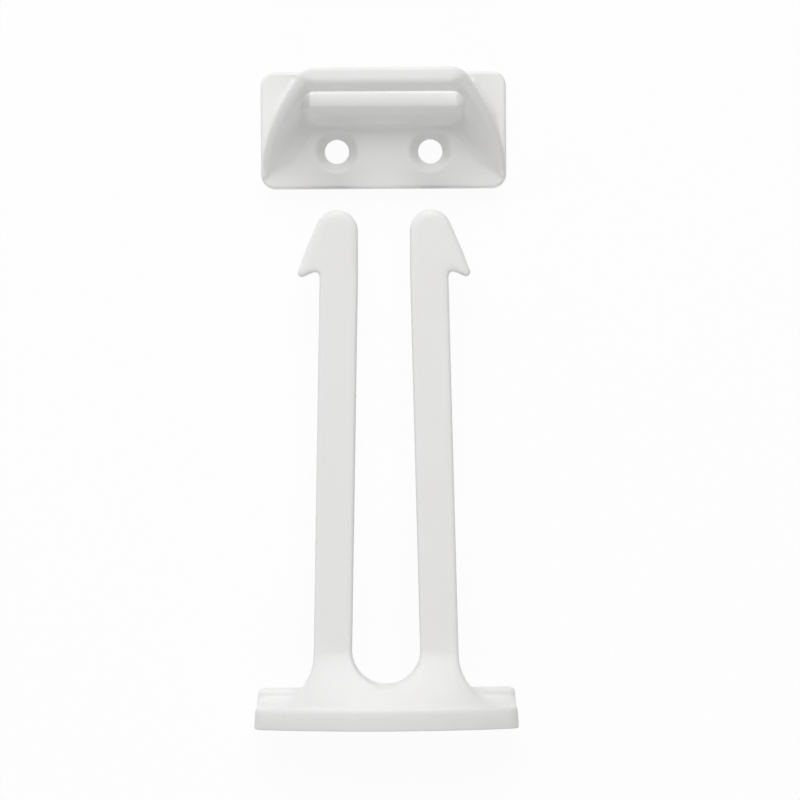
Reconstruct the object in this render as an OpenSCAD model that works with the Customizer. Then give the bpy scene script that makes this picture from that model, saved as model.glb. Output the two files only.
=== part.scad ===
// Child-safety drawer lock in two mouldings: a slotted keeper and a catch with two barbed spring arms.
// Both lie in line along Y, the keeper beyond the arm tips, with their rear faces on Z = 0.
// Y = 0 is the middle of the pair and X = 0 its plane of symmetry.

/* [Arms of the catch] */
// Length of the catch from the mounting face to the tips
catch_len = 89.7; // [70:0.5:140]
// Width of one arm
arm_w = 6.6; // [5:0.1:9]
// Thickness of the arms
arm_t = 4; // [3:0.1:5]
// Clear width between the arms at the root
root_gap = 11.8; // [10:0.1:16]
// Clear width between the arms at the barbs
tip_gap = 9; // [7:0.1:12]
// Width over both barbs
barb_span = 29.8; // [27:0.1:36]
// Distance from the tip of an arm back to its barb
barb_back = 11; // [8:0.1:15]
// Rise of the hooked underside of a barb
barb_hook = 0.9; // [0:0.1:1.5]

/* [Base of the catch] */
// Width of the base
base_w = 45.8; // [42:0.2:60]
// Depth of the base at its middle
base_h = 16.5; // [15:0.1:22]
// How far the bowed front of the base falls back at its ends
base_bow = 4.2; // [0:0.1:6]
// Thickness of the ledge of the base
ledge_t = 4; // [3:0.1:6]
// Thickness of the base at its rear rim
rim_t = 6.4; // [5:0.1:9]
// Bottom of the gap between the arms, above the mounting face
root_t = 7.7; // [7:0.1:14]
// Radius of the outer root of each arm
root_r = 9; // [5:0.1:10]
// Length of the ramp from the arms out to the front of the ledge
ramp_len = 10; // [6:0.1:20]

/* [Keeper] */
// Width of the plate
plate_w = 43; // [41:0.2:60]
// Depth of the plate
plate_d = 20.4; // [18:0.1:30]
// Thickness of the plate
plate_t = 3; // [2:0.1:4]
// Corner radius of the plate
plate_r = 2.5; // [1:0.1:5]
// Height of the hood over the back of the plate
hood_h = 17.5; // [16:0.1:24]
// Thickness of the hood at its rim
hood_wall = 2; // [1.5:0.1:3]
// How much thicker the rear wall of the hood is at its foot
hood_draft = 0.9; // [0:0.1:1.5]
// Lean of the inside of the rear wall, in degrees
hood_lean = 23; // [10:1:24]
// Width of the hood between its front corners
hood_front_w = 41; // [38:0.2:42]
// Distance from the front edge of the plate to the front corners of the hood
hood_front_y = 1.8; // [1:0.1:3]
// Width of the floor inside the hood, at its rear corners
foot_w = 27.8; // [24:0.2:32]
// Width of the hood inside its rim, at its rear corners
rim_w = 25.2; // [22:0.2:30]
// Distance from the front edge of the plate to the inside of the rear rim
rim_y = 18.1; // [16:0.1:24]
// Size of the rear corners inside the hood at its floor
foot_corner = 1.5; // [0.8:0.1:3]
// Size of the rear corners inside the hood at its rim
rim_corner = 1; // [0.6:0.1:3]
// How far each side of the floor bows out
foot_bow = 2.9; // [2:0.1:3.5]
// How far each side of the rim bows in
rim_bow = 0.3; // [0:0.1:1]
// Radius of the soft corner between the hood and its floor
floor_r = 3; // [1:0.1:4]
// How much wider the sides of the hood are at the plate than at the rim
flare = 0.3; // [0:0.1:1]
// Radius of the outer foot of the hood
flare_r = 2; // [0.5:0.1:3]

/* [Screws and fit] */
// Bore for a screw
screw_d = 4.3; // [3:0.1:5]
// Diameter of the countersink at the surface
head_d = 7.4; // [6:0.1:9]
// Distance between the two screws of each moulding
screw_gap = 16.4; // [12:0.1:24]
// Distance from the front edge of the keeper to its screws
screw_inset = 6.5; // [5:0.1:8]
// Height of the middle of the arms and of the slot over the rear faces
arm_z = 10; // [9:0.1:12]
// Clearance above and below the arms in the slot
slot_fit = 0.5; // [0.2:0.1:1]
// How far each barb overlaps the end of the slot
barb_bite = 0.6; // [0.2:0.1:2]
// Distance from the arm tips to the keeper
part_gap = 4.3; // [2:0.1:20]
// Radius of the moulded edges
edge_r = 0.5; // [0.3:0.1:0.8]

/* [Hidden] */
plastic = [0.94, 0.94, 0.93];

// Where the two mouldings lie in the shared frame
total_len = catch_len + part_gap + plate_d;
catch_y = -total_len / 2;
keeper_y = total_len / 2 - plate_d;

// Fit of the arms in the slot
slot_w = barb_span - 2 * barb_bite;
slot_h = arm_t + 2 * slot_fit;

// A quadratic curve from a to c that leaves and arrives along its middle point b
function curve(a, b, c, n) = [for (k = [0:n]) let (t = k / n) (1 - t) * (1 - t) * a + 2 * t * (1 - t) * b + t * t * c];
// Points of a circular arc, with its angles in degrees
function arc(c, r, from, to, n) = [for (k = [0:n]) let (a = from + (to - from) * k / n) c + r * [cos(a), sin(a)]];

// A closed solid through a row of sections that have as many points each
module loft(sections) {
    n = len(sections[0]);
    last = len(sections) - 1;
    polyhedron(
        [for (s = sections) each s],
        concat(
            [[for (j = [n - 1:-1:0]) j], [for (j = [0:n - 1]) last * n + j]],
            [for (k = [0:last - 1], j = [0:n - 1]) let (a = k * n + j, b = k * n + (j + 1) % n)
                each [[a, b, b + n], [a, b + n, a + n]]]
        ), convexity = 6
    );
}

// Catch: both edges of the right arm from the base to its tip, seen along Z from the mounting face
arm_low = arm_z - arm_t / 2;
arm_top = arm_z + arm_t / 2;
// How deep solids reach into what carries them, and how little two surfaces that meet are set apart
sunk = 1.5;
dip = 0.1;
root_x = root_gap / 2 + arm_w;
root_c = [root_x + root_r, ledge_t + root_r - dip];
gap_r = root_gap / 2;
arm_start = ledge_t + ramp_len + 2 * edge_r;
barb_y = catch_len - barb_back;
barb_root_x = tip_gap / 2 + arm_w;
dome_r = arm_w / 2 + 0.3;
dome_c = [tip_gap / 2 + dome_r, catch_len - dome_r];
barb_tip_r = 0.7;
barb_bend = 0.9;
barb_tip_c = [barb_span / 2 - barb_tip_r, barb_y + barb_tip_r];
barb_reach = barb_tip_c - dome_c;
slant = atan2(barb_reach[1], barb_reach[0]) + acos((dome_r - barb_tip_r) / norm(barb_reach));

outer_edge = concat(
    [[root_x + root_r - 2 * edge_r, ledge_t - sunk]],
    arc(root_c, root_r, 264, 180, 14),
    [[root_x - dip / 2, arm_start]],
    curve([barb_root_x, barb_y], [barb_root_x, barb_y + barb_hook], [barb_root_x + barb_bend, barb_y + barb_hook], 2),
    arc(barb_tip_c, barb_tip_r, -105, slant, 5),
    arc(dome_c, dome_r, slant, 89, 12)
);
inner_edge = concat(
    [[0, ledge_t - sunk], [0, ledge_t], [0, (ledge_t + root_t) / 2]],
    arc([0, root_t + gap_r], gap_r, -90, 0, 12),
    [[gap_r - dip / 2, arm_start]],
    [for (k = [0:8]) [tip_gap / 2, dome_c[1] - (dome_c[1] - barb_y) * pow(1 - k / 9, 2)]],
    arc(dome_c, dome_r, 180, 91, 12)
);

// Outward direction of an edge at point k, where side is 1 for the outer and -1 for the inner edge
function edge_out(e, k, side) =
    side < 0 && e[k][0] == 0 ? [0, e[k][1] < root_t ? 0 : 1]
    : let (t = e[min(k + 1, len(e) - 1)] - e[max(k - 1, 0)]) side * [t[1], -t[0]] / norm(t);
// Height of the front face of the base at x, and of the ramp that leads from it to the arms
function bow_z(x) = base_h - base_bow * pow(2 * x / base_w, 2);
ramp_ease = 0.25;
function ramp_z(p) = let (u = min(1, max(0, ledge_t + ramp_len - p[1]) / ramp_len))
    p[1] < ledge_t - dip ? bow_z(p[0]) - edge_r
    : arm_top + (bow_z(p[0]) - 4 * dip - arm_top) * (1 + ramp_ease) * u * u / (u + ramp_ease);
// The rounded side of the arm at a point of its edge, from low to high
function arm_side(p, out) = [
    for (turn = [0, 45, 90]) let (q = p - edge_r * (1 - sin(turn)) * out) [q[0], q[1], arm_low + edge_r * (1 - cos(turn))],
    for (turn = [90, 45, 0]) let (q = p - edge_r * (1 - sin(turn)) * out) [q[0], q[1], ramp_z(p) - edge_r * (1 - cos(turn))]
];
// One section of the arm from its outer to its inner edge, with a few points across its top
across = 6;
function arm_section(k) = let (
    outer_out = edge_out(outer_edge, k, 1), inner_out = edge_out(inner_edge, k, -1),
    outer = arm_side(outer_edge[k], outer_out), inner = arm_side(inner_edge[k], inner_out)
) concat(
    outer,
    [for (j = [1:across - 1]) let (p = outer[5] + (inner[5] - outer[5]) * j / across) [p[0], p[1], ramp_z(p)]],
    [for (j = [5:-1:0]) inner[j]]
);
module arm() {
    loft([for (k = [0:len(outer_edge) - 1]) arm_section(k)]);
}

// Base: its section at a place x, as points of space, with a cove between the ledge and the rear rim
front_fall = 0.8;
end_r = 1.6;
draft = 0.5;
rim_round = 2;
rim_top = 1.4;
cove_foot = rim_top + rim_round;
cove_z = arm_low - 2 * edge_r;
function drafted(x, y) = x * (1 - 2 * draft / base_w * y / rim_t);
function base_section(x, drop, draw) = let (front = bow_z(x) - drop, top = rim_t - draw, ledge = ledge_t - draw) [
    for (p = concat(
        [[-sunk, draw], [top - edge_r, draw], [top - 0.3 * edge_r, draw + 0.3 * edge_r], [top, draw + edge_r]],
        curve([top, rim_top], [top, cove_foot - 0.4 * rim_round], [top - rim_round / 2, cove_foot - dip], 4),
        curve([top - 0.6 * rim_round, cove_foot], [ledge, cove_foot + 0.4 * rim_round], [ledge, cove_z], 6),
        [[ledge, front - edge_r], [ledge - 0.3 * edge_r, front - 0.3 * edge_r]],
        curve([ledge - edge_r, front], [ledge / 2, front], [0, front - front_fall], 4),
        [[-sunk, front - 2 * front_fall]]
    )) [drafted(x, p[0]), p[0], p[1]]
];
module base() {
    straight = base_w / 2 - end_r;
    right = [for (turn = [90:-22.5:0]) base_section(straight + end_r * sin(turn), end_r * (1 - cos(turn)),
        edge_r * (1 - cos(turn)))];
    left = [for (turn = [0:22.5:90]) base_section(-straight - end_r * sin(turn), end_r * (1 - cos(turn)),
        edge_r * (1 - cos(turn)))];
    middle = [for (k = [1:11]) base_section(straight * (1 - k / 6), 0, 0)];
    loft(concat(right, middle, left));
}
// Bore and countersink of one screw, entered from +Z with the mouth at Z = 0
module screw_hole(through, above) {
    cone_t = (head_d - screw_d) / 2;
    translate([0, 0, -through - 1]) cylinder(d = screw_d, h = through + above + 1, $fn = 48);
    rotate_extrude($fn = 64)
        polygon([[0, -cone_t], [screw_d / 2, -cone_t], [head_d / 2, 0], [head_d / 2, above], [0, above]]);
}
module catch() {
    screw_z = arm_low - head_d / 2 - 0.2;
    color(plastic) translate([0, catch_y, 0]) difference() {
        // The facets of the domes end a hair short of the tips, so the moulding is brought to its exact length
        resize([0, catch_len + sunk, 0]) {
            base();
            arm();
            mirror([1, 0, 0]) arm();
        }
        translate([-base_w, -2 * sunk, -sunk]) cube([2 * base_w, 2 * sunk, 2 * base_h]);
        for (side = [-1, 1])
            translate([side * screw_gap / 2, ledge_t - 0.4, screw_z]) rotate([-90, 0, 0])
                screw_hole(ledge_t, rim_t);
    }
}

// Keeper: inner edges of the hood at its floor and at its rim, seen along Z, from a front corner to the middle
function hood_edge(bend, rear, corner) = let (
    front = [hood_front_w / 2, hood_front_y], side = rear + [corner_in, -corner]
) concat(
    curve(front, bend, side, 12),
    [for (k = [1:5]) curve(side, rear, rear - [corner, 0], 5)[k]],
    [[0, rear[1]]]
);
corner_in = 0.6;
foot_y = rim_y - (hood_h - plate_t) * tan(hood_lean);
foot_edge = hood_edge([foot_w / 2 + foot_bow, foot_y / 2], [foot_w / 2, foot_y], foot_corner);
rim_edge = hood_edge([hood_front_w / 2 - rim_bow, rim_y / 2], [rim_w / 2, rim_y], rim_corner);
hood_steps = len(rim_edge) - 1;
hood_eye = [0, plate_d / 5];

// One section through the wall of the hood at step k of its edges, as points of space
function hood_section(k) = let (
    foot = foot_edge[k], rim = rim_edge[k],
    rise = max(0.4, (hood_h - plate_t) * min(1, (rim[1] - hood_front_y) / (rim_y - hood_front_y))),
    along = rim_edge[min(k + 1, hood_steps)] - rim_edge[max(k - 1, 0)],
    out = k == hood_steps ? [0, 1] : [along[1], -along[0]] / norm(along),
    inward = (hood_eye - foot) / norm(hood_eye - foot),
    wall = hood_wall * (0.3 + 0.7 * rise / (hood_h - plate_t)),
    side = min(1, max(0, (hood_steps - 2 - k) / 4)),
    rim_out = rim + wall * out,
    foot_out = (1 - side) * (foot + (wall + hood_draft) * out)
        + side * (rim_out + flare * min(1, rise / floor_r / 2) * out),
    edge = min(edge_r, wall / 4, rise / 4),
    soft = min(floor_r, 0.7 * rise),
    soft_out = max(2 * dip, min(flare_r, 0.7 * rise, plate_w / 2 - 2 * edge_r - foot_out[0])),
    low = plate_t - sunk / 2,
    up = soft / rise, up_out = soft_out / rise,
    start = foot + soft * inward, finish = foot_out + soft_out * out,
    on_wall = foot + up * (rim - foot), on_outside = foot_out + up_out * (rim_out - foot_out)
) concat(
    curve([start[0], start[1], plate_t - dip], [foot[0], foot[1], plate_t],
        [on_wall[0], on_wall[1], plate_t + soft], 5),
    [for (p = [
        [rim + (foot - rim) * edge / rise, rise - edge], [rim + edge * out, rise],
        [rim_out - edge * out, rise], [rim_out + (foot_out - rim_out) * edge / rise, rise - edge]
    ]) [p[0][0], p[0][1], plate_t + p[1]]],
    curve([on_outside[0], on_outside[1], plate_t + soft_out], [foot_out[0], foot_out[1], plate_t],
        [finish[0], finish[1], plate_t - dip], 4),
    [[finish[0], finish[1], low], [start[0], start[1], low]]
);
module hood() {
    right = [for (k = [hood_steps:-1:0]) hood_section(k)];
    left = [for (k = [hood_steps:-1:1]) [for (p = right[k]) [-p[0], p[1], p[2]]]];
    loft(concat(left, right));
}
// The slot through the rear wall, with its pointed ends
module slot() {
    point = slot_h / 5;
    translate([0, plate_d + sunk, 0]) rotate([90, 0, 0]) linear_extrude(plate_d) intersection() {
        translate([-slot_w / 2, arm_z - slot_h / 2]) square([slot_w, slot_h]);
        polygon([
            [-slot_w / 2, arm_z], [3 * point - slot_w / 2, arm_z - slot_h], [slot_w / 2 - 3 * point, arm_z - slot_h],
            [slot_w / 2, arm_z], [slot_w / 2 - point, arm_z + slot_h], [point - slot_w / 2, arm_z + slot_h]
        ]);
    }
}
// Outline of the plate, drawn in by a distance, at height z
function plate_ring(draw, z) = [
    for (c = [[1, 1, 0], [-1, 1, 90], [-1, -1, 180], [1, -1, 270]])
        for (p = arc([c[0] * (plate_w / 2 - plate_r), plate_d / 2 + c[1] * (plate_d / 2 - plate_r)],
            plate_r - draw, c[2], c[2] + 90, 8)) [p[0], p[1], z]
];
module plate() {
    loft([for (turn = [90:-30:0]) plate_ring(edge_r * (1 - cos(turn)), plate_t - edge_r * (1 - sin(turn))),
        plate_ring(0, -sunk)]);
}
module keeper() {
    color(plastic) translate([0, keeper_y, 0]) difference() {
        resize([plate_w, 0, 0]) {
            plate();
            hood();
        }
        translate([-plate_w, -plate_d, -2 * sunk]) cube([2 * plate_w, 3 * plate_d, 2 * sunk]);
        intersection() {
            slot();
            translate([-plate_w, foot_y, 0]) cube([2 * plate_w, plate_d, 2 * hood_h]);
        }
        for (side = [-1, 1])
            translate([side * screw_gap / 2, screw_inset, plate_t]) screw_hole(plate_t, hood_h);
    }
}

keeper();
catch();
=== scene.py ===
import math

import bmesh
import bpy
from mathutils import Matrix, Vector


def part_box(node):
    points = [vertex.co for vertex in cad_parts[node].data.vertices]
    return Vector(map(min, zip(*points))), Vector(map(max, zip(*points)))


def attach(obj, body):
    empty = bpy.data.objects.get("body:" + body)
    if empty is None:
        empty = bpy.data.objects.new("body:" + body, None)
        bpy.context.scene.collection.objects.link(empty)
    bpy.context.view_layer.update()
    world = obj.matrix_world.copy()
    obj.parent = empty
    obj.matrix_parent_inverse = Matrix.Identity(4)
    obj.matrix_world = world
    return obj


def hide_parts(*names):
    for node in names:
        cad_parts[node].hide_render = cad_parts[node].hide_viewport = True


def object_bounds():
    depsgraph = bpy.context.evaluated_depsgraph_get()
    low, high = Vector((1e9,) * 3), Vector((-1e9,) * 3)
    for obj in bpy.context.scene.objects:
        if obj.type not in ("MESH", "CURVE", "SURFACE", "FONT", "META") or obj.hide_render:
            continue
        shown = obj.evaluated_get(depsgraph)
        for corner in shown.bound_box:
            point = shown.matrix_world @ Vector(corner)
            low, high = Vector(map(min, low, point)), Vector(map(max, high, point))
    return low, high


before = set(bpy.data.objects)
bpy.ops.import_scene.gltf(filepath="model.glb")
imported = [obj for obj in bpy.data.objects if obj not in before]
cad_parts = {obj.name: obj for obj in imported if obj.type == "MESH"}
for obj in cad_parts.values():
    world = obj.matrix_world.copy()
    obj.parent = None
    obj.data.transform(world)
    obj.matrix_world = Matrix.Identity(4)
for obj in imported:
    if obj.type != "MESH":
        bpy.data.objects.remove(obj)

# A drawer lock in two white mouldings: the slotted keeper, and the catch with its barbed arms.
# Both take their shape from the CAD nodes. Here their edges are softened as a mould leaves them,
# and they get satin plastic with grain, flow marks and the pale rings of the ejector pins.

bl_info = {
    "name": "Drawer lock",
    "version": (1, 0, 0),
    "blender": (4, 5, 0),
    "location": "3D View > Sidebar > Drawer lock",
    "description": "Finishes the two mouldings of a drawer lock and sets them on a pale stage",
    "category": "Object",
}

CAD_LOW, CAD_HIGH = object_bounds()
MM = 0.001

# The keeper's screw bores, in millimetres from the middle and from the plate's edge at the mouth
SCREW_ACROSS, SCREW_ALONG = 8.2, 6.5


class MouldingSettings(bpy.types.PropertyGroup):
    keeper_pitch: bpy.props.FloatProperty(
        name="Keeper mesh", description="Spacing of the points on the surface of the keeper",
        default=0.2 * MM, min=0.15 * MM, max=1 * MM, precision=5, subtype="DISTANCE", unit="LENGTH")
    catch_pitch: bpy.props.FloatProperty(
        name="Catch mesh", description="Spacing of the points on the surface of the catch",
        default=0.28 * MM, min=0.2 * MM, max=1 * MM, precision=5, subtype="DISTANCE", unit="LENGTH")
    rounds: bpy.props.IntProperty(
        name="Softening rounds", description="How often the surface is smoothed to soften edges",
        default=3, min=0, max=40)
    blend: bpy.props.FloatProperty(
        name="Softening", description="How far each round moves a point towards its neighbours",
        default=0.5, min=0, max=1, subtype="FACTOR")
    dish_rounds: bpy.props.IntProperty(
        name="Dish softening", description="Further rounds round the screw dishes of the keeper",
        default=14, min=0, max=60)
    rim_rounds: bpy.props.IntProperty(
        name="Rim softening", description="Further rounds along the rim of the hood",
        default=6, min=0, max=60)
    rim_gain: bpy.props.FloatProperty(
        name="Rim gain", description="How much wider than its wall the rim over the slot is",
        default=0.95 * MM, min=0, max=1.5 * MM, precision=5, subtype="DISTANCE", unit="LENGTH")
    tip_rounds: bpy.props.IntProperty(
        name="Tip doming", description="Rounds that dome the top of the arm tips",
        default=40, min=0, max=80)
    barb_hang: bpy.props.FloatProperty(
        name="Barb hang", description="How far the rear of the barbs is moved towards the base",
        default=0.5 * MM, min=0, max=1 * MM, precision=5, subtype="DISTANCE", unit="LENGTH")
    crown_rounds: bpy.props.IntProperty(
        name="Crown softening", description="Further rounds on the top of the base",
        default=14, min=0, max=60)
    hollow_depth: bpy.props.FloatProperty(
        name="Hollow depth", description="How much the hollow in each wing of the base is deepened",
        default=0.6 * MM, min=0, max=1 * MM, precision=5, subtype="DISTANCE", unit="LENGTH")
    hollow_lip: bpy.props.FloatProperty(
        name="Hollow lip", description="How much the lip before the hollow in each wing is raised",
        default=0.2 * MM, min=0, max=0.5 * MM, precision=5, subtype="DISTANCE", unit="LENGTH")


class PlasticSettings(bpy.types.PropertyGroup):
    colour: bpy.props.FloatVectorProperty(
        name="Colour", description="Base colour of the white plastic",
        default=(0.835, 0.835, 0.83), min=0, max=1, subtype="COLOR")
    warm: bpy.props.FloatVectorProperty(
        name="Flow colour", description="Colour where the melt met last, a trace warmer",
        default=(0.827, 0.82, 0.806), min=0, max=1, subtype="COLOR")
    roughness: bpy.props.FloatProperty(
        name="Roughness", description="Roughness of the satin surface",
        default=0.42, min=0, max=1, subtype="FACTOR")
    grain: bpy.props.FloatProperty(
        name="Grain", description="Size of the fine texture that the mould leaves",
        default=0.16 * MM, min=0.02 * MM, max=1 * MM, precision=5, subtype="DISTANCE", unit="LENGTH")
    grain_depth: bpy.props.FloatProperty(
        name="Grain depth", description="Depth of the fine texture",
        default=0.006 * MM, min=0, max=0.1 * MM, precision=6, subtype="DISTANCE", unit="LENGTH")
    pin: bpy.props.FloatProperty(
        name="Ejector pin", description="Diameter of the ejector pins' rings on the rear faces",
        default=3.2 * MM, min=1 * MM, max=6 * MM, precision=4, subtype="DISTANCE", unit="LENGTH")


class StageSettings(bpy.types.PropertyGroup):
    camera_height: bpy.props.FloatProperty(
        name="Camera height", description="Height of the camera over the surface below the lock",
        default=0.6, min=0.2, max=3, subtype="DISTANCE", unit="LENGTH")
    camera_x: bpy.props.FloatProperty(
        name="Camera to the right", description="How far right of the lock's middle the camera is",
        default=2.64 * MM, precision=5, subtype="DISTANCE", unit="LENGTH")
    camera_y: bpy.props.FloatProperty(
        name="Camera forward", description="How far beyond the lock's middle the camera is",
        default=-0.35 * MM, precision=5, subtype="DISTANCE", unit="LENGTH")
    camera_roll: bpy.props.FloatProperty(
        name="Camera roll", description="Turn of the camera about its line of sight",
        default=math.radians(-0.32), subtype="ANGLE", unit="ROTATION")
    view_width: bpy.props.FloatProperty(
        name="Width in view", description="Width of the surface that the picture shows",
        default=140.8 * MM, min=0.05, max=1, precision=4, subtype="DISTANCE", unit="LENGTH")
    back_power: bpy.props.FloatProperty(
        name="Lamp beyond the keeper", description="Power of the soft lamp on the keeper's side",
        default=9.0, min=0, max=50, unit="POWER")
    front_power: bpy.props.FloatProperty(
        name="Lamp before the catch", description="Power of the soft lamp on the catch's side",
        default=4.3, min=0, max=50, unit="POWER")
    side_power: bpy.props.FloatProperty(
        name="Lamp at the left", description="Power of the soft lamp at the left of the keeper",
        default=2.8, min=0, max=50, unit="POWER")
    top_power: bpy.props.FloatProperty(
        name="Lamp above", description="Power of the soft lamp straight above",
        default=1.0, min=0, max=50, unit="POWER")
    lamp_size: bpy.props.FloatProperty(
        name="Lamp size", description="Width of each soft lamp",
        default=0.8, min=0.05, max=2, subtype="DISTANCE", unit="LENGTH")
    lamp_range: bpy.props.FloatProperty(
        name="Lamp distance", description="Distance of each soft lamp from the middle of the lock",
        default=1.2, min=0.2, max=5, subtype="DISTANCE", unit="LENGTH")
    sky: bpy.props.FloatProperty(
        name="All-round light", description="Strength of the even light from all sides",
        default=0.25, min=0, max=2)
    floor_white: bpy.props.FloatProperty(
        name="Floor white", description="Share of pure white in what the camera sees of the floor",
        default=0.94, min=0, max=1, subtype="FACTOR")


SETTINGS = {
    "lock_moulding": MouldingSettings,
    "lock_plastic": PlasticSettings,
    "lock_stage": StageSettings,
}


class Value:
    """A number or colour that varies over a surface, for use in Python expressions."""

    def __init__(self, shader, socket):
        self.shader, self.socket = shader, socket

    def _maths(self, operation, *terms):
        return self.shader.add("ShaderNodeMath", {"operation": operation}, *terms)

    def __add__(self, other):
        return self._maths("ADD", self, other)

    def __sub__(self, other):
        return self._maths("SUBTRACT", self, other)

    def __rsub__(self, other):
        return self._maths("SUBTRACT", other, self)

    def __mul__(self, other):
        return self._maths("MULTIPLY", self, other)

    def __pow__(self, other):
        return self._maths("POWER", self, other)

    def __abs__(self):
        return self._maths("ABSOLUTE", self)

    __radd__, __rmul__ = __add__, __mul__

    def most(self, other):
        return self._maths("MAXIMUM", self, other)

    def ramp(self, start, end):
        """0 where the value is start, 1 where it is end, and a soft step between."""
        return self.shader.add(
            "ShaderNodeMapRange", {"interpolation_type": "SMOOTHSTEP"},
            **{"Value": self, "From Min": start, "From Max": end})


class Shader:
    """The node tree of one material or world."""

    def __init__(self, owner):
        owner.use_nodes = True
        self.owner, self.tree = owner, owner.node_tree
        self.tree.nodes.clear()

    def add(self, kind, settings=None, *inputs, output=0, **named):
        """Adds a node, with its inputs given by place or by name. Gives back one output."""
        node = self.tree.nodes.new(kind)
        for key, setting in (settings or {}).items():
            setattr(node, key, setting)
        for key, value in [*enumerate(inputs), *named.items()]:
            if isinstance(value, Value):
                self.tree.links.new(value.socket, node.inputs[key])
            elif value is not None:
                node.inputs[key].default_value = value
        return Value(self, node.outputs[output]) if node.outputs else node

    def mix(self, share, first, second):
        """A colour between two colours."""
        return self.add(
            "ShaderNodeMix", {"data_type": "RGBA"},
            share, None, None, None, None, None, first, second, output=2)

    def noise(self, place, size, detail=2, roughness=0.5):
        """Smooth noise with lumps of the given size in metres."""
        return self.add(
            "ShaderNodeTexNoise", {"noise_dimensions": "3D"},
            Vector=place, Scale=1 / size, Detail=detail, Roughness=roughness)


def pin_marks(across, up, depth, pins):
    """The rings that ejector pins leave on a rear face, and the discs inside them: 1 on a mark and
    0 off it. across and up are places on that face, and depth is how far they are in from it."""
    radius = bpy.context.scene.lock_plastic.pin / 2
    ring_width, ring_core, disc_edge = 0.14 * MM, 0.02 * MM, 0.12 * MM
    full_depth, last_depth = 0.1 * MM, 0.4 * MM
    ring, disc = None, None
    for pin_across, pin_up in pins:
        beside, above = across - pin_across, up - pin_up
        away = (beside * beside + above * above) ** 0.5
        edge = abs(away - radius).ramp(ring_width, ring_core)
        inside = away.ramp(radius, radius - disc_edge)
        ring = edge if ring is None else ring.most(edge)
        disc = inside if disc is None else disc.most(inside)
    near = depth.ramp(last_depth, full_depth)
    return ring * near, disc * near


def satin_plastic(name, pins, pin_axis, rear):
    """White moulded plastic. pins are the places of the ejector pins on the rear face, in metres.
    pin_axis is the axis that this face looks along (1 for Y, 2 for Z), and rear its place on it."""
    look = bpy.context.scene.lock_plastic
    flow_size, cloud_size, lump_size = 14 * MM, 4.5 * MM, 1.6 * MM
    flow_band, flow_share = (0.42, 0.72), 0.7
    ring_share, ring_colour = 0.12, (0.6, 0.6, 0.59, 1)
    cloud_matt, grain_matt, disc_gloss = 0.09, 0.12, 0.08
    lump_height, ring_height, disc_depth = 0.004 * MM, 0.02 * MM, 0.05 * MM
    middle = 0.5  # of every noise

    shader = Shader(bpy.data.materials.new(name))
    place = shader.add("ShaderNodeTexCoord", output="Object")
    x, y, z = (shader.add("ShaderNodeSeparateXYZ", {}, place, output=axis) for axis in "XYZ")
    flow = shader.noise(place, flow_size, detail=3, roughness=0.55)
    cloud = shader.noise(place, cloud_size)
    grain = shader.noise(place, look.grain, roughness=0.6)
    lumps = shader.noise(place, lump_size)
    up, depth = (z, y) if pin_axis == 1 else (y, z)
    ring, disc = pin_marks(x, up, abs(depth - rear), pins)

    colour = shader.mix(flow.ramp(*flow_band) * flow_share, (*look.colour, 1), (*look.warm, 1))
    colour = shader.mix(ring * ring_share, colour, ring_colour)
    rough = (cloud - middle) * cloud_matt + (grain - middle) * grain_matt \
        - disc * disc_gloss + look.roughness
    height = (grain - middle) * look.grain_depth + (lumps - middle) * lump_height \
        - disc * disc_depth + ring * ring_height
    normal = shader.add("ShaderNodeBump", {}, Strength=1.0, Distance=1.0, Height=height)
    surface = shader.add(
        "ShaderNodeBsdfPrincipled", {}, **{
            "Base Color": colour, "Roughness": rough, "Normal": normal,
            "IOR": 1.48, "Specular IOR Level": 0.45, "Coat Weight": 0.06, "Coat Roughness": 0.25})
    shader.add("ShaderNodeOutputMaterial", {}, Surface=surface)
    return shader.owner


def baked(thing):
    """The mesh of an object with its modifiers applied."""
    bpy.context.view_layer.update()
    finished = thing.evaluated_get(bpy.context.evaluated_depsgraph_get())
    return bpy.data.meshes.new_from_object(finished)


def new_object(name, mesh):
    thing = bpy.data.objects.new(name, mesh)
    bpy.context.scene.collection.objects.link(thing)
    return thing


def merged_copy(node, name):
    """A copy of a CAD node's mesh with its loose triangles joined."""
    shape = bmesh.new()
    shape.from_mesh(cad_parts[node].data)
    bmesh.ops.remove_doubles(shape, verts=shape.verts, dist=0.001 * MM)
    mesh = bpy.data.meshes.new(name)
    shape.to_mesh(mesh)
    shape.free()
    return new_object(name, mesh)


def fit_to_box(mesh, low, high):
    """Stretches a mesh by the hair that softening took off it, so that it fills its CAD box."""
    shape = bmesh.new()
    shape.from_mesh(mesh)
    for axis in range(3):
        least = min(v.co[axis] for v in shape.verts)
        most = max(v.co[axis] for v in shape.verts)
        gain = (high[axis] - low[axis]) / (most - least)
        for v in shape.verts:
            v.co[axis] = low[axis] + (v.co[axis] - least) * gain
    shape.to_mesh(mesh)
    shape.free()


def measures(place, corner):
    """How far a place is from the middle in X, and from a corner in Y and Z, in millimetres."""
    return abs(place.x) / MM, abs(place.y - corner.y) / MM, abs(place.z - corner.z) / MM


def straight(measure, start, end):
    """0 where a measure is start, 1 where it is end, and straight between."""
    return min(1, max(0, (measure - start) / (end - start)))


def eased(measure, start, end):
    """0 where a measure is start, 1 where it is end, and a soft step between."""
    share = straight(measure, start, end)
    return share * share * (3 - 2 * share)


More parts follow.
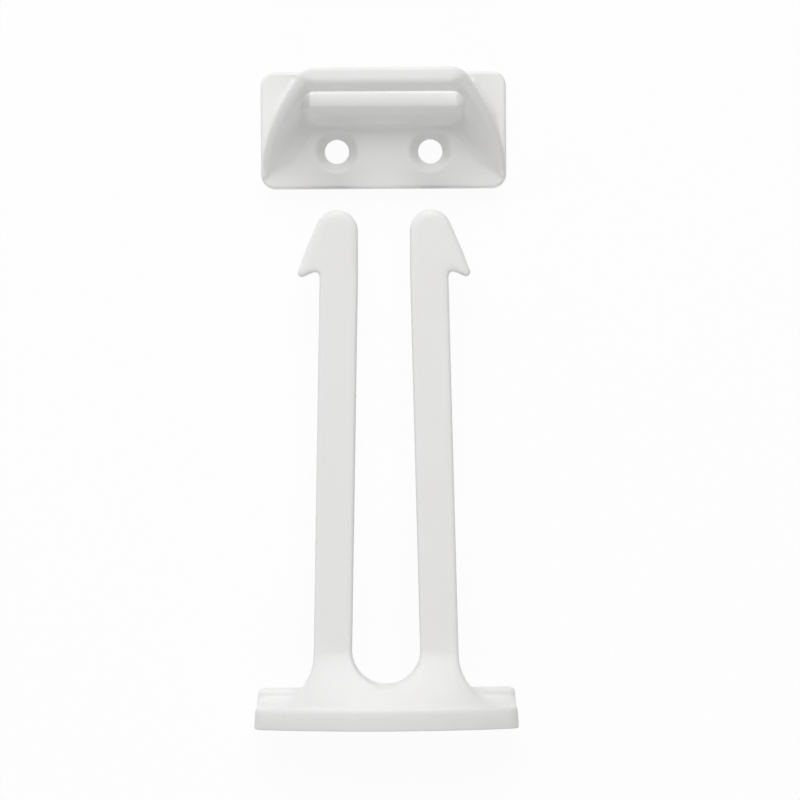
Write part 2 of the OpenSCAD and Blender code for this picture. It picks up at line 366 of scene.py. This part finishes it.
def soften(piece, rounds, weight, axes="xyz"):
    """Smooths a piece along some axes, as much as weight gives from 0 to 1 for each place on it."""
    group = piece.vertex_groups.new(name="softer")
    for vertex in piece.data.vertices:
        share = weight(vertex.co)
        if share > 0:
            group.add([vertex.index], share, "REPLACE")
    smooth = piece.modifiers.new("Softer", "SMOOTH")
    smooth.factor, smooth.iterations = bpy.context.scene.lock_moulding.blend, rounds
    smooth.vertex_group = group.name
    smooth.use_x, smooth.use_y, smooth.use_z = (axis in axes for axis in "xyz")
    mesh = baked(piece)
    piece.modifiers.clear()
    piece.data = mesh
    piece.vertex_groups.clear()


def soft_moulding(node, name, pitch):
    """A CAD node as a smooth moulding: an even mesh on its surface, with the edges softened."""
    look = bpy.context.scene.lock_moulding
    exact = merged_copy(node, name + "_exact")
    even = new_object(name + "_even", exact.data.copy())
    remesh = even.modifiers.new("Even", "REMESH")
    remesh.mode, remesh.voxel_size = "VOXEL", pitch
    wrap = even.modifiers.new("On the surface", "SHRINKWRAP")
    wrap.target, wrap.wrap_method, wrap.wrap_mode = exact, "NEAREST_SURFACEPOINT", "ON_SURFACE"
    smooth = even.modifiers.new("Soft edges", "SMOOTH")
    smooth.factor, smooth.iterations = look.blend, look.rounds
    piece = new_object(name, baked(even))
    for thing in (even, exact):
        bpy.data.objects.remove(thing)
    return piece


def finish_moulding(piece, node, material):
    fit_to_box(piece.data, *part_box(node))
    piece.data.name = piece.name
    piece.data.polygons.foreach_set("use_smooth", [True] * len(piece.data.polygons))
    piece.data.materials.clear()
    piece.data.materials.append(material)
    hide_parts(node)
    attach(piece, node)


# In the functions that shape a piece each pair is two measures in millimetres: where a change sets
# in, and where it is full.

def round_dishes(piece, low, rounds):
    """Softens the ring round each screw bore, down to half the depth of its dish."""
    bore, edge, half_depth = (2.6, 3.1), (5.4, 4.6), (1, 1.5)

    def dish(place):
        across, along, up = measures(place, low)
        away = math.hypot(across - SCREW_ACROSS, along - SCREW_ALONG)
        return min(straight(away, *bore), straight(away, *edge), straight(up, *half_depth))

    soften(piece, rounds, dish)


def widen_rim(piece, high, gain):
    """Thickens the top of the hood over the slot on the side of the mouth."""
    foot, end, rear, mouth = (4, 0.4), (14, 11.5), (0.8, 1.9), (8, 5)
    for vertex in piece.data.vertices:
        across, behind, down = measures(vertex.co, high)
        vertex.co.y -= gain * eased(down, *foot) * eased(across, *end) \
            * eased(behind, *rear) * eased(behind, *mouth)


def round_rim(piece, high, rounds):
    """Softens the top of the hood."""
    foot = (2.4, 1.2)

    def rim(place):
        across, behind, down = measures(place, high)
        return straight(down, *foot)

    soften(piece, rounds, rim)


class LOCK_OT_keeper(bpy.types.Operator):
    """Makes the keeper: the screw plate with its slotted hood"""
    bl_idname = "lock.keeper"
    bl_label = "Keeper"

    def execute(self, context):
        look = context.scene.lock_moulding
        piece = soft_moulding("keeper", "keeper_moulding", look.keeper_pitch)
        low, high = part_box("keeper")
        round_dishes(piece, low, look.dish_rounds)
        widen_rim(piece, high, look.rim_gain)
        round_rim(piece, high, look.rim_rounds)

        middle, pin_across, pin_along = (low.y + high.y) / 2, 16 * MM, 6.5 * MM
        pins = [
            (side * pin_across, middle + way * pin_along) for side in (-1, 1) for way in (-1, 1)]
        finish_moulding(piece, "keeper", satin_plastic("Keeper plastic", pins, 2, low.z))
        return {"FINISHED"}


def round_crown(piece, low, rounds):
    """Softens the top of the base with the arms' roots, but not its outer edges."""
    level, end, rear, front = (9, 10), (22.4, 21.6), (1.2, 2.2), (8.6, 7.6)
    wing, wing_front = (13.5, 12.5), (7, 6.3)

    def crown(place):
        across, along, up = measures(place, low)
        return min(
            straight(up, *level), straight(across, *end),
            straight(along, *rear), straight(along, *front),
            max(straight(across, *wing), straight(along, *wing_front)))

    soften(piece, rounds, crown)


def deepen_hollow(piece, low, depth, lip):
    """Deepens the hollow in each wing of the base, and raises the lip before it."""
    wing, foot, top = (12, 14), (1, 2.4), (8, 5)
    lip_edge, hollow_edge = (5.4, 6.4), (6.2, 4.6)
    for vertex in piece.data.vertices:
        across, along, up = measures(vertex.co, low)
        vertex.co.z += straight(across, *wing) * eased(up, *foot) * eased(up, *top) * (
            lip * eased(along, *lip_edge) - depth * eased(along, *hollow_edge))


def hang_barbs(piece, high, reach):
    """Moves the rear of the barbs towards the base."""
    side, front, rear = (9.5, 11), (6.5, 9.5), (15, 12)
    for vertex in piece.data.vertices:
        across, behind, down = measures(vertex.co, high)
        vertex.co.y -= reach * eased(across, *side) * eased(behind, *front) * eased(behind, *rear)


def dome_tips(piece, low, high, rounds):
    """Domes the upper half of the arm tips with their barbs."""
    root, level = (12.5, 9.5), (10, 11)

    def tip(place):
        behind, up = (high.y - place.y) / MM, (place.z - low.z) / MM
        return min(straight(behind, *root), straight(up, *level))

    soften(piece, rounds, tip, "z")


class LOCK_OT_catch(bpy.types.Operator):
    """Makes the catch: the screw base with its two barbed spring arms"""
    bl_idname = "lock.catch"
    bl_label = "Catch"

    def execute(self, context):
        look = context.scene.lock_moulding
        piece = soft_moulding("catch", "catch_moulding", look.catch_pitch)
        low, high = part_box("catch")
        round_crown(piece, low, look.crown_rounds)
        deepen_hollow(piece, low, look.hollow_depth, look.hollow_lip)
        hang_barbs(piece, high, look.barb_hang)
        dome_tips(piece, low, high, look.tip_rounds)

        outer_pin, inner_pin = (17.5 * MM, 5.2 * MM), (4.2 * MM, 10.5 * MM)
        pins = [(side * across, up) for side in (-1, 1) for across, up in (outer_pin, inner_pin)]
        finish_moulding(piece, "catch", satin_plastic("Catch plastic", pins, 1, low.y))
        return {"FINISHED"}


def pale_floor(white):
    """A matt floor that shows the shadow but looks nearly white, in gloss and through glass too."""
    shader = Shader(bpy.data.materials.new("Pale floor"))
    seen = shader.add("ShaderNodeLightPath", output="Is Camera Ray")
    for ray in ("Is Glossy Ray", "Is Transmission Ray"):
        seen = seen.most(shader.add("ShaderNodeLightPath", output=ray))
    matt = shader.add("ShaderNodeBsdfDiffuse", Color=(0.86, 0.86, 0.86, 1))
    glow = shader.add("ShaderNodeEmission", Color=(1, 1, 1, 1), Strength=1)
    surface = shader.add("ShaderNodeMixShader", {}, seen * white, matt, glow)
    shader.add("ShaderNodeOutputMaterial", Surface=surface)
    return shader.owner


def even_world(strength):
    """Even light from all sides, and plain white where the camera looks past the floor."""
    world = bpy.context.scene.world = bpy.data.worlds.new("Even light")
    shader = Shader(world)
    seen = shader.add("ShaderNodeLightPath", output="Is Camera Ray")
    light = shader.add("ShaderNodeBackground", Color=(1, 1, 1, 1), Strength=strength)
    white = shader.add("ShaderNodeBackground", Color=(1, 1, 1, 1), Strength=1)
    surface = shader.add("ShaderNodeMixShader", {}, seen, light, white)
    shader.add("ShaderNodeOutputWorld", Surface=surface)


def soft_lamp(name, bearing, rise, power):
    """A square lamp that faces the lock. Its bearing, clockwise from the keeper's side, and its
    rise over the floor are in degrees."""
    stage = bpy.context.scene.lock_stage
    lamp = bpy.data.lights.new(name, "AREA")
    lamp.shape, lamp.size, lamp.energy = "SQUARE", stage.lamp_size, power
    thing = new_object(name, lamp)
    bearing, rise = math.radians(bearing), math.radians(rise)
    level = math.cos(rise)
    way = Vector((level * math.sin(bearing), level * math.cos(bearing), math.sin(rise)))
    thing.location = way * stage.lamp_range
    thing.rotation_euler = way.to_track_quat("Z", "Y").to_euler()


class LOCK_OT_stage(bpy.types.Operator):
    """Sets the lock on a pale floor with soft light, seen straight from above"""
    bl_idname = "lock.stage"
    bl_label = "Stage"

    def execute(self, context):
        stage = context.scene.lock_stage
        floor_reach, floor_gap = 1.5, 0.02 * MM
        shape = bmesh.new()
        bmesh.ops.create_grid(shape, x_segments=1, y_segments=1, size=floor_reach)
        bmesh.ops.translate(shape, verts=shape.verts, vec=(0, 0, CAD_LOW.z - floor_gap))
        mesh = bpy.data.meshes.new("floor")
        shape.to_mesh(mesh)
        shape.free()
        mesh.materials.append(pale_floor(stage.floor_white))
        new_object("floor", mesh)

        even_world(stage.sky)
        soft_lamp("back_lamp", bearing=0, rise=45, power=stage.back_power)
        soft_lamp("front_lamp", bearing=180, rise=35, power=stage.front_power)
        soft_lamp("side_lamp", bearing=-55, rise=20, power=stage.side_power)
        soft_lamp("top_lamp", bearing=0, rise=90, power=stage.top_power)

        lens = bpy.data.cameras.new("camera")
        lens.sensor_width = 36
        lens.lens = lens.sensor_width * stage.camera_height / stage.view_width
        lens.clip_start, lens.clip_end = 0.01, 10
        camera = new_object("camera", lens)
        camera.location = (stage.camera_x, stage.camera_y, stage.camera_height)
        camera.rotation_euler = (0, 0, stage.camera_roll)
        context.scene.camera = camera
        context.scene.view_settings.view_transform = "Standard"
        return {"FINISHED"}


OPERATORS = (LOCK_OT_keeper, LOCK_OT_catch, LOCK_OT_stage)


class LOCK_PT_panel(bpy.types.Panel):
    """Sizes, colours and steps of the drawer lock"""
    bl_label = "Drawer lock"
    bl_space_type = "VIEW_3D"
    bl_region_type = "UI"
    bl_category = "Drawer lock"

    def draw(self, context):
        for name, group in SETTINGS.items():
            box = self.layout.box()
            for key in group.__annotations__:
                box.prop(getattr(context.scene, name), key)
        for operator in OPERATORS:
            self.layout.operator(operator.bl_idname)


CLASSES = (*SETTINGS.values(), *OPERATORS, LOCK_PT_panel)


def register():
    for cls in CLASSES:
        bpy.utils.register_class(cls)
    for name, group in SETTINGS.items():
        setattr(bpy.types.Scene, name, bpy.props.PointerProperty(type=group))


def unregister():
    for name in SETTINGS:
        delattr(bpy.types.Scene, name)
    for cls in reversed(CLASSES):
        bpy.utils.unregister_class(cls)


def main():
    register()
    for operator in OPERATORS:
        group, name = operator.bl_idname.split(".")
        getattr(getattr(bpy.ops, group), name)()


if __name__ == "__main__":
    main()
